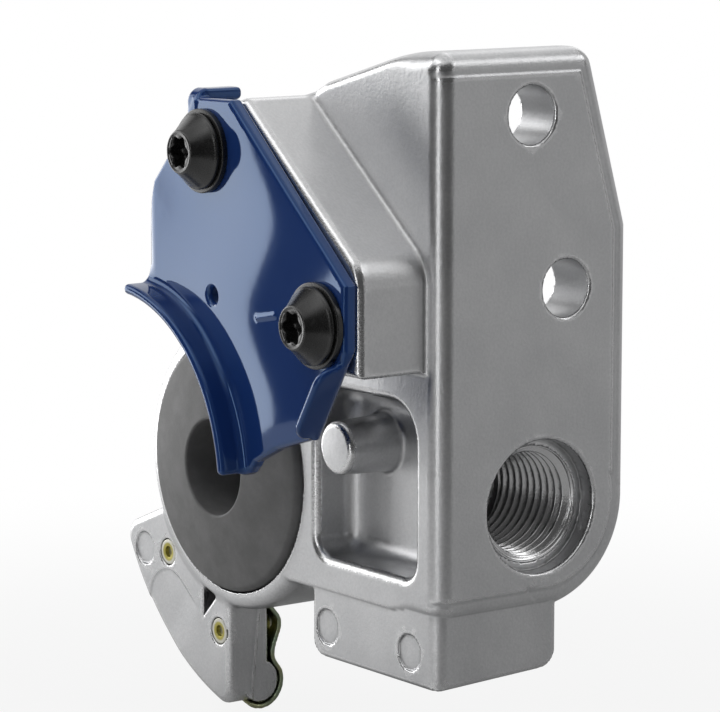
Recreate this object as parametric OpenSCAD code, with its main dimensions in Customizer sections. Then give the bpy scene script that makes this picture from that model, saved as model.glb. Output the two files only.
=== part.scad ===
// Gladhand air brake coupler: a die-cast body with a bolted detent plate, a coupling seal and a riveted wear plate.
// Lengths are in millimetres and angles in degrees. Sizes are taken from three datum planes: the mounting face,
// the coupling face and the foot of the lug. The finished part has its origin midway between the two mounting
// bolt holes, on the mounting face, with +X out of that face, -Y out of the coupling face and +Z up.

/* [Mounting flange] */
// Thickness of the flange
flange_t = 10; // [7:0.5:13]
// Height of the flange's top edge above the lug's foot
flange_top = 111.3; // [108:0.1:116]
// Depth of the flange behind the coupling face
flange_depth = 43.2; // [41.5:0.1:45]
// Depth of the flange at its top edge, behind the coupling face
flange_top_depth = 34.2; // [31:0.1:38]
// Height of the flange's lower edge above the lug's foot
face_bottom = 11.7; // [11:0.1:12.2]
// Radius of the flange's round lower end
end_r = 19.3; // [18.5:0.1:20]
// Radius along the mounting face's outer border
border_r = 4; // [1:0.5:4.5]
// Height at which the flange's back edge starts to slope
flange_slope_z = 79.5; // [70:0.5:90]
// Radius along the corner between the mounting face and the coupling face
corner_r = 3.5; // [1:0.5:6]
// Distance between the two bolt holes
bolt_spacing = 31.75; // [28:0.25:36]
// Lean of the line of bolt holes
bolt_lean = 14.4; // [8:0.1:18]
// Setback of the bolt holes' middle behind the coupling face
bolt_mid_y = 24.05; // [22.5:0.05:26]
// Height of the bolt holes' middle above the lug's foot
bolt_mid_z = 84.55; // [82:0.05:87]
// Diameter of the bolt holes
bolt_hole_d = 10.32; // [8:0.02:12]

/* [Air port] */
// Setback of the port's axis behind the coupling face
port_y = 22.7; // [21:0.1:25]
// Height of the port's axis above the lug's foot
port_z = 30.7; // [29.5:0.1:32]
// Outer diameter of the barrel around the port
barrel_d = 37; // [34:0.5:39]
// Diameter of the port's bore at its thread
thread_d = 19.8; // [17:0.1:21]
// Length of the threaded bore
thread_length = 20; // [14:0.5:26]
// Diameter of the counterbore at the port's mouth
mouth_d = 23.9; // [22:0.1:26]
// Depth of the counterbore
mouth_depth = 3.5; // [1.5:0.1:6]
// Diameter of the passage from the port to the seal
passage_d = 15; // [10:0.5:16.5]

/* [Seal housing] */
// Distance of the seal's axis from the mounting face
seal_x = 64.7; // [63.5:0.1:68]
// Height of the seal's axis above the lug's foot
seal_z = 31; // [30:0.1:32]
// Outer diameter of the housing
housing_d = 55; // [53:0.5:58]
// Depth of the housing behind the coupling face
housing_depth = 41; // [39:0.5:46]
// Radius of the housing's front edge
housing_rim_r = 3; // [1:0.5:3]
// Radius of the housing's back edge
housing_back_r = 8; // [2:0.5:10]
// Diameter of the air chamber behind the seal
chamber_d = 30; // [24:0.5:34]
// Wall behind the air chamber
chamber_wall = 6; // [4:0.5:8]

/* [Seal] */
// Outer diameter of the seal
seal_d = 47.6; // [46:0.1:48]
// Diameter of the seal's hole
seal_hole_d = 18; // [14:0.5:20]
// How far the seal's edge stands out of the coupling face
seal_proud = 0.6; // [0.2:0.1:1.5]
// Rise of the seal's face from its edge to its hole
seal_crown = 3.1; // [1:0.1:4]
// Depth of the seat that holds the seal's flange
seal_seat = 5; // [3:0.1:7]
// Diameter of the seal's neck
seal_neck_d = 36; // [35:0.5:40]
// Length of the seal's neck
seal_neck = 4; // [2:0.5:6]
// Clearance around the seal in its seat
seal_gap = 0.3; // [0.1:0.05:0.5]

/* [Arm] */
// How far the arm stands out in front of the coupling face
arm_reach = 14.4; // [13:0.1:18]
// Inset of the arm's side from the mounting face
arm_inset = 4; // [3.5:0.1:5]
// Height of the arm's lower edge above the lug's foot
arm_bottom = 56.2; // [54:0.1:57]
// Height at which the arm's side starts to slope
arm_slope_z = 74.9; // [74:0.1:80]
// Distance from the mounting face to the top of the sloped side
arm_top_x = 38.2; // [36:0.1:40]
// Height of the top of the sloped side
arm_top_z = 102.3; // [102:0.1:104]
// Distance from the mounting face to the arm's far end
arm_end_x = 54; // [53:0.5:56]
// Height of the arm's far end, under the plate's tab
arm_end_z = 100.2; // [100:0.1:101]
// Length of the flat top over the arm's far end
arm_end_flat = 9.8; // [8:0.1:11]
// Radius around the seal's axis that stays clear for the other coupler's wing
clear_r = 51; // [48:0.5:53]
// Thickness of the web that joins the arm to the flange
web_t = 12; // [11.5:0.5:13]
// Distance from the mounting face to the top of the web's sloped edge
web_top_x = 9.2; // [5:0.1:14]
// Distance from the mounting face to the foot of the web's sloped edge
web_foot_x = 34; // [30:0.1:36]
// Height of the foot of the web's sloped edge
web_foot_z = 104.6; // [103:0.1:106]

/* [Pocket and peg] */
// Distance from the mounting face to the pocket's near side
pocket_x = 6.6; // [4.5:0.1:7.5]
// Width of the pocket
pocket_w = 30.8; // [26:0.1:31.5]
// Height of the pocket's lower side above the lug's foot
pocket_z = 18; // [16:0.1:19]
// Height of the pocket
pocket_h = 32.8; // [30:0.1:34]
// Corner radius of the pocket
pocket_r = 4.5; // [2:0.5:8]
// Depth of the pocket
pocket_depth = 8.5; // [5:0.5:8.5]
// Diameter of the peg
peg_d = 9.6; // [7:0.1:12]
// How far the peg stands out of the coupling face
peg_proud = 3; // [1:0.1:5]
// Distance of the peg's axis from the mounting face
peg_x = 26.8; // [20:0.1:30]
// Height of the peg's axis above the lug's foot
peg_z = 40; // [35:0.1:43]

/* [Lug] */
// Distance from the mounting face to the lug's near side
lug_inset = 1; // [0.5:0.1:3]
// Distance from the mounting face to the lug's far side
lug_x = 38.5; // [34:0.1:42]
// Depth of the lug behind the coupling face
lug_depth = 27; // [22:0.5:32]
// Radius of the lug's lower corners
lug_r = 4.5; // [2:0.5:6]

/* [Wing] */
// Setback of the wing's front behind the coupling face
wing_y = 1; // [0.5:0.1:2]
// Thickness of the wing
wing_t = 9.2; // [8:0.1:10.5]
// Radius of the wing's outer edge
wing_r = 52; // [51:0.1:53]
// Sideways offset of the outer edge's centre from the seal's axis
wing_center_x = 9.5; // [9:0.1:10]
// Height of the outer edge's centre over the seal's axis
wing_center_z = 3.2; // [2.5:0.1:4]
// Distance of the wing's end face from the seal's axis
wing_end = 1.3; // [0.5:0.1:2]
// Distance of the wing's tip from its end face
wing_tip = 36; // [34:0.5:38]
// Drop of the wing's tip below the seal's axis
wing_tip_drop = 16.9; // [15:0.1:18]
// Slope of the wing's upper edge
wing_slope = 21.9; // [18:0.1:26]
// Radius of the rounded bead along the wing's back
bead_r = 4; // [3.5:0.1:4.5]
// How far the bead stands out of the wing's back
bead_proud = 2.1; // [1.8:0.1:2.5]
// Inset of the bead from the wing's outer edge
bead_inset = 0.4; // [0:0.1:1]
// Depth of the recess beside the housing
recess_depth = 5; // [2:0.5:7]

/* [Detent plate] */
// Thickness of the plate
plate_t = 2.8; // [2:0.1:3.5]
// Inset of the plate's edges from the arm's edges
plate_inset = 0.3; // [0:0.1:1]
// Overhang of the plate beyond the seal's axis
plate_left = 0.8; // [0:0.1:2]
// Height at which the plate's outer edge starts to lean
plate_lean_z = 82.2; // [78:0.1:84]
// Height of the lower end of the plate's near edge
plate_corner_z = 61.7; // [61:0.1:62.5]
// Distance from the mounting face to the plate's foot
plate_foot_x = 24.2; // [22:0.1:26]
// Height of the plate's foot
plate_foot_z = 41.7; // [41:0.1:43]
// Radius of the step where the lip starts
lip_r = 37.6; // [37:0.1:39]
// Distance from the seal's axis to the straight stretch of that step
lip_side = 32.9; // [32:0.1:34]
// How far the lip is stepped forward of the plate
lip_step = 3.3; // [2.9:0.1:4.5]
// Further rise of the lip towards its free edge
lip_flare = 1.8; // [0.5:0.1:3]
// Radius of the lip's free edge
lip_edge_r = 32.7; // [32:0.1:33.5]
// Sideways offset of the free edge's centre from the seal's axis
lip_edge_x = 3.4; // [2.5:0.1:4]
// Height of the free edge's centre over the seal's axis
lip_edge_z = 1.8; // [1:0.1:2.5]
// Angle at which the lip ends below, about the seal's axis
lip_low = 9.5; // [8:0.5:11]
// Angle at which the lip ends above, about the seal's axis
lip_high = 91; // [90:0.5:94]
// Distance from the mounting face to the upper end of the flap's bend
flap_top_x = 8.4; // [7.5:0.1:9]
// Height of the upper end of the flap's bend
flap_top_z = 58.1; // [57.5:0.1:59]
// Distance from the mounting face to the lower end of the flap's bend
flap_foot_x = 18.4; // [17:0.1:19]
// Height of the lower end of the flap's bend
flap_foot_z = 45.6; // [45:0.1:47]
// Width of the flap bent back at the plate's lower corner
flap_w = 5.2; // [3:0.1:6]
// Angle through which that flap is bent back
flap_bend = 49; // [35:1:60]
// Distance of the flap's bend from the plate's edge
flap_start = 0.2; // [0.1:0.1:0.5]
// Setback of the flap's ends from the ends of its bend
flap_relief = 0.4; // [0.2:0.1:1]
// Clearance between that flap and the arm's lower side
flap_gap = 0.3; // [0.1:0.1:0.6]
// Inset of the folded tab from the arm's far end
tab_inset = 2; // [1:0.1:3]
// Width of the tab folded over the arm's far end
tab_w = 5; // [3:0.1:6]
// Length of that tab behind the plate's back
tab_length = 7.6; // [5:0.1:10]
// Distance of the small locating hole from the seal's axis
pin_hole_r = 41.2; // [40.5:0.1:43]
// Angle of the small locating hole about the seal's axis
pin_hole_deg = 60; // [50:1:70]
// Diameter of the small locating hole
pin_hole_d = 2.7; // [1.5:0.1:4]

/* [Screws] */
// Distance of the upper screw from the mounting face
upper_x = 46.3; // [45:0.1:46.5]
// Height of the upper screw above the lug's foot
upper_z = 92.4; // [91:0.1:92.6]
// Distance of the lower screw from the mounting face
lower_x = 11.9; // [11.8:0.1:14]
// Height of the lower screw above the lug's foot
lower_z = 65; // [64:0.1:68]
// Diameter of the screws' shanks
screw_d = 6; // [4:0.1:8]
// Radial clearance around the shanks
screw_gap = 0.1; // [0.05:0.05:0.3]
// Length of thread in the arm
screw_grip = 10; // [6:0.5:11]
// Height of the screws' heads
head_h = 4.4; // [3.5:0.1:6]
// Diameter of the head's front
head_front_d = 8.2; // [7.5:0.1:9]
// Diameter of the head's base
head_base_d = 13.2; // [11:0.1:13.8]
// Height of the rolled rim around the head's base
head_rim = 0.8; // [0.4:0.1:1.2]
// Diameter of the washers
washer_d = 15; // [14:0.1:15.2]
// Thickness of the washers
washer_t = 1.2; // [0.6:0.1:2]
// Radius of the six-lobed socket
socket_r = 2.7; // [1.8:0.1:3.2]
// Depth of the socket
socket_depth = 3; // [2:0.1:3.4]

/* [Wear plate and rivets] */
// Thickness of the wear plate
wear_t = 1; // [0.6:0.1:1.2]
// Clearance between the wear plate and the wing's bead
wear_gap = 0.3; // [0.1:0.05:0.5]
// Reach of the wear plate inwards from the bead's middle
wear_reach = 13.6; // [13:0.1:14.5]
// Reach of the wear plate's inner ridge
ridge_reach = 11.6; // [11.4:0.1:12]
// Height of the inner ridge over the wing's back
ridge_h = 3; // [2.5:0.1:3.6]
// Reach of the inner end of the valley between the ridges
valley_in = 10.8; // [10.6:0.1:11.2]
// Reach of the outer end of that valley
valley_out = 5; // [4.6:0.1:5.2]
// Height of the valley over the wing's back
valley_h = 1.8; // [1.4:0.1:2.2]
// Gap between the wear plate's upper end and the wing's upper edge
wear_short = 2; // [0:0.1:4]
// Angle to which the wear plate wraps round the bead
wear_wrap = -30; // [-40:1:0]
// Reach of the upper rivet inwards from the bead's middle
upper_rivet_reach = 7.6; // [7.2:0.1:8.6]
// Angle of the upper rivet about the wing's centre
upper_rivet_deg = 216.3; // [215:0.1:218]
// Reach of the lower rivet inwards from the bead's middle
lower_rivet_reach = 8.6; // [7.2:0.1:8.8]
// Angle of the lower rivet about the wing's centre
lower_rivet_deg = 247.8; // [246:0.1:249]
// Diameter of the rivets' shanks
rivet_d = 3.2; // [2.6:0.1:3.4]
// Diameter of the rivets' rolled heads
rivet_head_d = 4.9; // [4.4:0.1:5.4]
// Thickness of the rivets' rolled heads
rivet_head_t = 0.8; // [0.4:0.1:1]
// Depth of the sinking that seats a rivet's head
rivet_sink = 1; // [0.8:0.1:1.5]
// Diameter of the rivets' set tails
rivet_tail_d = 3.8; // [3.5:0.1:4]
// Diameter of the rivets' holes
rivet_hole_d = 2.1; // [1.4:0.1:2.2]
// Radial clearance around the rivets
rivet_gap = 0.1; // [0.05:0.05:0.15]
// Diameter of the pads under the rivets' tails
rivet_pad_d = 6; // [5:0.1:6.4]

/* [Hidden] */
$fn = 96;
// Extra reach that lets a cut pass cleanly through a face
over = 1;
barrel_r = barrel_d / 2;
housing_r = housing_d / 2;
end_at = [flange_depth - end_r, face_bottom + end_r];
// Height to which the lug reaches up behind the border of the mounting face
lug_top = face_bottom + border_r;
seal_at = [-seal_x, seal_z];
port_at = [port_y, port_z];
wing_at = seal_at + [wing_center_x, wing_center_z];
wing_back = wing_y + wing_t;
wing_end_x = -seal_x - wing_end;
bead_at_r = wing_r - bead_r - bead_inset;
bead_at_y = wing_back - bead_r + bead_proud;
bead_at = [bead_at_r, bead_at_y];
// Angle to which the wing's edge is relieved for the end of the wear plate's hook
relief_wrap = wear_wrap - wear_gap / bead_r * 180 / PI;
plate_back = -arm_reach;
plate_front = plate_back - plate_t;
head_seat = plate_front - washer_t;
head_front = head_seat - head_h;
shank_end = plate_back + screw_grip;
arm_near_x = -arm_inset - plate_inset;
upper_at = [-upper_x, upper_z];
lower_at = [-lower_x, lower_z];
flap_top = [-flap_top_x, flap_top_z];
flap_foot = [-flap_foot_x, flap_foot_z];
tab_x = -arm_end_x + tab_inset;
tab_top = arm_end_z + plate_t;
upper_rivet_at = wing_polar(bead_at_r - upper_rivet_reach, upper_rivet_deg);
lower_rivet_at = wing_polar(bead_at_r - lower_rivet_reach, lower_rivet_deg);
rivet_seat = wing_y + rivet_sink;
valley_y = wing_back + valley_h;
// The wear plate's back surface: radius about the wing's centre, and depth behind the coupling face
wear_keys = [
    [bead_at_r - wear_reach, wing_back + wear_t],
    [bead_at_r - ridge_reach, wing_back + ridge_h],
    [bead_at_r - valley_in, valley_y],
    [bead_at_r - valley_out, valley_y],
    bead_at + [0, bead_r + wear_gap + wear_t],
];

// A point of the front view at a distance and an angle about the seal's axis
function seal_polar(r, deg) = seal_at + r * [cos(deg), sin(deg)];

// The same about the centre of the wing's outer edge
function wing_polar(r, deg) = wing_at + r * [cos(deg), sin(deg)];

// Points along a circle's arc
function arc(center, r, from, to, steps) =
    [for (i = [0:steps]) let (a = from + (to - from) * i / steps) center + r * [cos(a), sin(a)]];

// Points from one key to the next along a half wave, without the last one
function half_wave(a, b, steps) =
    [for (i = [0:steps - 1]) [a[0] + (b[0] - a[0]) * i / steps, a[1] + (b[1] - a[1]) * (1 - cos(180 * i / steps)) / 2]];

// Moves the datum corner so that the origin lies midway between the bolt holes
module placed() translate([0, -bolt_mid_y, -bolt_mid_z]) children();

// Front view: a flat shape in X and Z, extruded from one depth behind the coupling face to another
module slab(front, back) rotate([90, 0, 0]) translate([0, 0, -back]) linear_extrude(back - front) children();

// Front view: a section in radius and forward height, turned about an axis that runs through the coupling face
module turned(at, from = 0, sweep = 360)
    translate([at[0], 0, at[1]]) rotate([90, 0, 0]) rotate([0, 0, from]) rotate_extrude(angle = sweep) children();

// A round hole or post in the front view, from one depth to another
module post(at, d, front, back) slab(front, back) translate(at) circle(d = d);

// Side view: a flat shape in Y and Z, extruded from one distance behind the mounting face to another
module side(near, far) rotate([90, 0, 90]) translate([0, 0, -far]) linear_extrude(far - near) children();

// A rectangle with round corners
module round_rect(w, h, r) {
    translate([r, 0]) square([w - 2 * r, h]);
    translate([0, r]) square([w, h - 2 * r]);
    for (x = [r, w - r], y = [r, h - r]) translate([x, y]) circle(r);
}

// Outline of the mounting face
module flange_outline() {
    polygon([
        [0, face_bottom], [end_at[0], face_bottom], end_at, [flange_depth, end_at[1]],
        [flange_depth, flange_slope_z], [flange_top_depth, flange_top], [0, flange_top],
    ]);
    translate(end_at) circle(end_r);
}

// Outline of the web that stands behind the coupling face
module web_outline() polygon([
    [0, face_bottom], [0, flange_top], [-web_top_x, flange_top], [-web_foot_x, web_foot_z],
    [-arm_end_x + arm_end_flat, arm_end_z + plate_inset], [-arm_end_x, arm_end_z],
    seal_polar(housing_r - over, 120), [-seal_x, face_bottom],
]);

// Outline of the arm that carries the detent plate
module arm_outline() difference() {
    polygon([
        [-arm_inset, arm_bottom], [-arm_inset, arm_slope_z], [-arm_top_x, arm_top_z],
        [-arm_end_x + arm_end_flat, arm_end_z], [-arm_end_x, arm_end_z], [-arm_end_x, arm_bottom],
    ]);
    translate(seal_at) circle(clear_r);
}

// The region beside the wing's end face and under its sloped upper edge
module wing_region(drop) intersection() {
    translate([wing_end_x - 3 * wing_r, wing_at[1] - 2 * wing_r]) square([3 * wing_r, 3 * wing_r]);
    translate([wing_end_x - wing_tip, seal_z - wing_tip_drop - drop]) rotate(wing_slope)
        translate([-wing_r, -2 * wing_r]) square([3 * wing_r, 2 * wing_r]);
}

// Outline of the wing, inside its outer edge
module wing_outline() intersection() {
    translate(wing_at) circle(wing_r);
    wing_region(0);
}

// The lug below the coupling face, with its lower corners rounded in both views
module lug() intersection() {
    slab(0, lug_depth) translate([-lug_x, 0]) round_rect(lug_x - lug_inset, lug_top + 2 * lug_r, lug_r);
    side(0, lug_x) translate([-2 * lug_r, 0]) round_rect(lug_depth + 2 * lug_r, lug_top + 2 * lug_r, lug_r);
    translate([-lug_x, 0, 0]) cube([lug_x, lug_depth, lug_top]);
}

// The housing around the seal, with a rounded rim and a rounded back
module housing() turned(seal_at) polygon(concat(
    [[0, 0], [0, -housing_depth]],
    arc([housing_r - housing_back_r, housing_back_r - housing_depth], housing_back_r, -90, 0, 12),
    arc([housing_r - housing_rim_r, -housing_rim_r], housing_rim_r, 0, 90, 8)
));

// The wing: its edge is relieved for the wear plate's hook, and it has a rounded bead along its back and a pad
// under each rivet's tail
module wing() {
    difference() {
        slab(wing_y, wing_back) wing_outline();
        turned(wing_at) mirror([0, 1])
            polygon(concat([bead_at], arc(bead_at, bead_r + 2 * wear_gap + wear_t, 90, relief_wrap, 20)));
    }
    intersection() {
        turned(wing_at) translate([bead_at_r, -bead_at_y]) circle(bead_r);
        slab(wing_y, wing_back + bead_r) wing_outline();
    }
    for (at = [upper_rivet_at, lower_rivet_at]) post(at, rivet_pad_d, wing_back - over, valley_y - wear_t);
}

// The recess in the wing's front, between the two rivets and beside the housing
module wing_recess() slab(wing_y - over, wing_y + recess_depth) polygon([
    seal_polar(housing_r - over, 228), seal_polar(housing_r + recess_depth, 231),
    seal_polar(housing_r + recess_depth + over, 249), seal_polar(housing_r - over, 259),
]);

// All solid masses of the casting
module casting() {
    side(0, flange_t) flange_outline();
    side(0, seal_x) translate(port_at) circle(barrel_r);
    slab(0, web_t) web_outline();
    slab(0, port_y) translate([-seal_x, face_bottom]) square([seal_x, port_z + barrel_r - face_bottom]);
    slab(plate_back, web_t) arm_outline();
    housing();
    wing();
}

// Section of what a rounded edge cuts away, with the edge at the origin and the solid to its left and above it
module edge_section(r) difference() {
    translate([-r, -over]) square([r + over, r + over]);
    translate([-r, r]) circle(r);
}

// The rounded corner between the mounting face and the coupling face, as the piece to cut away
module corner_cut() translate([0, 0, face_bottom - over]) linear_extrude(flange_top - face_bottom + 2 * over)
    edge_section(corner_r);

// A straight stretch of the mounting face's border, from one point of the side view to another
module border_edge(a, b, before, after) translate([0, a[0], a[1]])
    rotate([atan2(b[1] - a[1], b[0] - a[0]), 0, 0]) translate([0, norm(b - a) + after, 0]) rotate([90, 0, 0])
        linear_extrude(norm(b - a) + before + after) edge_section(border_r);

// The rounded border of the mounting face, as the piece to cut away
module border_cut() {
    border_edge([0, face_bottom], [end_at[0], face_bottom], over, 0);
    translate([0, end_at[0], end_at[1]]) rotate([90, 0, 90]) rotate([0, 0, -90]) rotate_extrude(angle = 90)
        translate([end_r, 0]) rotate(90) edge_section(border_r);
    border_edge([flange_depth, end_at[1]], [flange_depth, flange_slope_z], 0, over);
    border_edge([flange_depth, flange_slope_z], [flange_top_depth, flange_top], over, over);
    border_edge([flange_top_depth, flange_top], [0, flange_top], over, over);
}

// The port, the passage and the air chamber behind the seal
module air_way() {
    side(-over, mouth_depth) translate(port_at) circle(d = mouth_d);
    side(-over, mouth_depth + thread_length) translate(port_at) circle(d = thread_d);
    side(-over, seal_x) translate(port_at) circle(d = passage_d);
    post(seal_at, seal_d + 2 * seal_gap, -over, seal_seat);
    post(seal_at, seal_neck_d + 2 * seal_gap, -over, seal_seat + seal_neck);
    post(seal_at, chamber_d, -over, housing_depth - chamber_wall);
}

// The holes for the mounting bolts, the plate's screws and the wing's rivets
module fastener_holes() {
    for (s = [-1, 1])
        side(-over, flange_t + over)
            translate([bolt_mid_y, bolt_mid_z] + s * bolt_spacing / 2 * [-sin(bolt_lean), cos(bolt_lean)])
                circle(d = bolt_hole_d);
    for (at = [upper_at, lower_at]) post(at, screw_d + 2 * screw_gap, plate_back - over, shank_end + over);
    for (at = [upper_rivet_at, lower_rivet_at]) {
        post(at, rivet_d + 2 * rivet_gap, wing_y - over, wing_back + bead_r);
        post(at, rivet_head_d + 2 * rivet_gap, wing_y - over, rivet_seat);
    }
}

// The die-cast body
module body() color([0.72, 0.73, 0.74]) placed() {
    difference() {
        casting();
        slab(-over, pocket_depth) translate([-pocket_x - pocket_w, pocket_z]) round_rect(pocket_w, pocket_h, pocket_r);
        corner_cut();
        border_cut();
        wing_recess();
        air_way();
        fastener_holes();
    }
    post([-peg_x, peg_z], peg_d, -peg_proud, pocket_depth + over);
    lug();
}

// The rubber seal: a conical face, a flange in its seat and a neck
module seal() color([0.33, 0.33, 0.34]) placed() turned(seal_at) polygon([
    [seal_hole_d / 2, seal_proud + seal_crown], [seal_d / 2, seal_proud], [seal_d / 2, -seal_seat],
    [seal_neck_d / 2, -seal_seat], [seal_neck_d / 2, -seal_seat - seal_neck], [seal_hole_d / 2, -seal_seat - seal_neck],
]);

// The region inside the step of the lip: a circle with one straight side
module lip_region(inset) intersection() {
    translate(seal_at) circle(lip_r - inset);
    translate([-seal_x - 2 * lip_r, seal_z - lip_r]) square([2 * lip_r + lip_side - inset, 2 * lip_r]);
}

// Flat outline of the detent plate, outside the step of its lip
module plate_outline() difference() {
    polygon([
        [-arm_top_x, arm_top_z - plate_inset], [arm_near_x, arm_slope_z - plate_t], [arm_near_x, plate_corner_z],
        flap_top, flap_foot, [-plate_foot_x, plate_foot_z], seal_polar(lip_side, lip_low),
        [-seal_x - plate_left, seal_z + lip_edge_r], [-seal_x - plate_left, plate_lean_z],
        [-arm_end_x, arm_end_z - tab_inset], [tab_x, tab_top], [tab_x + tab_w, tab_top],
        [tab_x + tab_w, arm_end_z + plate_inset],
    ]);
    lip_region(plate_t / 2);
    for (at = [upper_at, lower_at]) translate(at) circle(d = screw_d + 4 * screw_gap);
    translate(seal_polar(pin_hole_r, pin_hole_deg)) circle(d = pin_hole_d);
}

// The flap bent back from the plate's lower corner: a leaning strip carried along the bend
module plate_flap() {
    run = flap_foot - flap_top;
    bend = [flap_start, 0];
    edge = bend + flap_w * [cos(flap_bend), -sin(flap_bend)];
    difference() {
        rotate([90, 0, 0]) translate([flap_top[0], flap_top[1], -plate_front]) rotate([0, 0, atan2(run[1], run[0])])
            rotate([90, 0, 90]) translate([0, 0, flap_relief]) linear_extrude(norm(run) - 2 * flap_relief) polygon([
                [-plate_t, 0], bend, edge, edge - plate_t * [sin(flap_bend), cos(flap_bend)], [-plate_t, -plate_t],
            ]);
        slab(plate_back, web_t) translate([0, -flap_gap]) arm_outline();
    }
}

// The lip's flared ring: its outer wall stands on the plate, and it rises from there towards its free edge
module lip_ring() turned(seal_at, lip_low, lip_high - lip_low) polygon([
    [lip_r, -plate_back], [lip_r, -plate_front + lip_step],
    [lip_r / 2, -plate_front + lip_step + 2 * lip_flare], [lip_r / 2, -plate_back + lip_step + 2 * lip_flare],
    [lip_r - plate_t, -plate_back + lip_step], [lip_r - plate_t, -plate_back],
]);

// The lip: stepped forward along the edge of its region, and cut to its free edge
module plate_lip() difference() {
    union() {
        intersection() {
            lip_ring();
            slab(plate_front - 3 * lip_r, plate_back) lip_region(0);
        }
        intersection() {
            slab(plate_front - lip_step, plate_back) difference() {
                lip_region(0);
                lip_region(plate_t);
            }
            turned(seal_at, lip_low, lip_high - lip_low) translate([0, -plate_back]) square([2 * lip_r, arm_reach + lip_r]);
        }
    }
    post(seal_at + [-lip_edge_x, lip_edge_z], 2 * lip_edge_r, plate_front - lip_r, plate_back + over);
}

// The tab folded back over the arm's far end
module plate_tab() translate([tab_x, plate_front, arm_end_z]) cube([tab_w, plate_t + tab_length, plate_t]);

// The stamped and painted detent plate
module detent_plate() color([0.12, 0.22, 0.45]) placed() {
    slab(plate_front, plate_back) plate_outline();
    plate_lip();
    plate_flap();
    plate_tab();
}

// A screw with a conical head, a rolled rim, a six-lobed socket and a plain shank
module screw(at) color([0.10, 0.10, 0.11]) placed() difference() {
    turned(at) polygon([
        [0, -head_front], [head_front_d / 2, -head_front], [(head_base_d - head_rim) / 2, -head_seat + head_rim],
        [head_base_d / 2, -head_seat + head_rim], [head_base_d / 2, -head_seat], [screw_d / 2, -head_seat],
        [screw_d / 2, -shank_end], [0, -shank_end],
    ]);
    slab(head_front - over, head_front + socket_depth) translate(at) {
        circle(0.85 * socket_r);
        for (i = [0:5]) rotate(60 * i) translate([0.75 * socket_r, 0]) circle(0.25 * socket_r);
    }
}

// A flat washer under a screw's head
module washer(at) color([0.13, 0.13, 0.14]) placed() slab(head_seat, plate_front) translate(at) difference() {
    circle(d = washer_d);
    circle(d = screw_d + 4 * screw_gap);
}

module upper_screw() screw(upper_at);
module lower_screw() screw(lower_at);
module upper_washer() washer(upper_at);
module lower_washer() washer(lower_at);

// Section of the wear plate in radius and forward height: its back surface, and its front one thickness in
module wear_section() {
    wave = [for (i = [0:len(wear_keys) - 2]) each half_wave(wear_keys[i], wear_keys[i + 1], 8)];
    front = [for (i = [len(wave) - 1:-1:0]) wave[i] - [0, wear_t]];
    hook_back = arc(bead_at, bead_r + wear_gap + wear_t, 90, wear_wrap, 20);
    hook_front = arc(bead_at, bead_r + wear_gap, wear_wrap, 90, 20);
    mirror([0, 1]) polygon(concat(wave, hook_back, hook_front, front));
}

// The wear plate behind the wing, clear of the housing, with holes for the rivets
module wear_plate() color([0.55, 0.58, 0.42]) placed() difference() {
    intersection() {
        turned(wing_at) wear_section();
        slab(wing_y, wing_back + 2 * bead_r) wing_region(wear_short);
    }
    post(seal_at, housing_d + 2 * wear_gap, wing_y, wing_back + 2 * bead_r);
    for (at = [upper_rivet_at, lower_rivet_at]) post(at, rivet_d + 2 * rivet_gap, wing_y, wing_back + 2 * bead_r);
}

// A tubular rivet: rolled head in front, shank through the wing and the wear plate, and a set tail behind
module rivet(at) color([0.68, 0.62, 0.25]) placed() difference() {
    turned(at) polygon([
        [0, -rivet_seat + rivet_head_t], [rivet_head_d / 2, -rivet_seat + rivet_head_t], [rivet_head_d / 2, -rivet_seat],
        [rivet_d / 2, -rivet_seat], [rivet_d / 2, -valley_y], [rivet_tail_d / 2, -valley_y],
        [rivet_tail_d / 2, -valley_y - rivet_head_t], [0, -valley_y - rivet_head_t],
    ]);
    post(at, rivet_hole_d, wing_y - over, wing_back);
}

module upper_rivet() rivet(upper_rivet_at);
module lower_rivet() rivet(lower_rivet_at);

body();
seal();
detent_plate();
upper_screw();
lower_screw();
upper_washer();
lower_washer();
wear_plate();
upper_rivet();
lower_rivet();
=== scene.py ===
"""Looks of a gladhand air brake coupler.

Shapes are worked out in millimetres in the casting's own gauge and go to the row's frame as meshes are made.
"""
import math
import bpy
import numpy as np
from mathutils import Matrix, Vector


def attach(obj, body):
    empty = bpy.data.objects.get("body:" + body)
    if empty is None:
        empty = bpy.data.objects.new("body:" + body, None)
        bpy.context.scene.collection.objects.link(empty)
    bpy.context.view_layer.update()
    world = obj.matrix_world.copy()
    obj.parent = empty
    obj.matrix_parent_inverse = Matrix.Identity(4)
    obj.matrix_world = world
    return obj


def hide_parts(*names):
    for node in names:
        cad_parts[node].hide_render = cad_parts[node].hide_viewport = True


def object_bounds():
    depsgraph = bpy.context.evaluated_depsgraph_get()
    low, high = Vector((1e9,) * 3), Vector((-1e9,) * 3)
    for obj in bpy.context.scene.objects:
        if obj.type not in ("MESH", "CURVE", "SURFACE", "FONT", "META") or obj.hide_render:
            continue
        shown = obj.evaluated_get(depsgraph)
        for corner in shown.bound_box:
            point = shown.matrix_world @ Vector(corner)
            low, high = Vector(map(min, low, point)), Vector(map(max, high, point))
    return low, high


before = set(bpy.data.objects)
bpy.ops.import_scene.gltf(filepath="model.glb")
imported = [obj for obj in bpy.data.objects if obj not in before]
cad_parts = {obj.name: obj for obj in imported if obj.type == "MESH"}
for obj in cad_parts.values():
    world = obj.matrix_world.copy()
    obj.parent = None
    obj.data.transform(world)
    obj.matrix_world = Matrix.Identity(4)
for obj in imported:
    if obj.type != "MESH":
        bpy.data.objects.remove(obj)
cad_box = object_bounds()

# The gauge: X = 0 on the mounting face, Y = 0 on the coupling face, Z = 0 at the lug's foot
ORIGIN = np.array([0.0, 24.05, 84.55])
MM = 0.001

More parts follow.
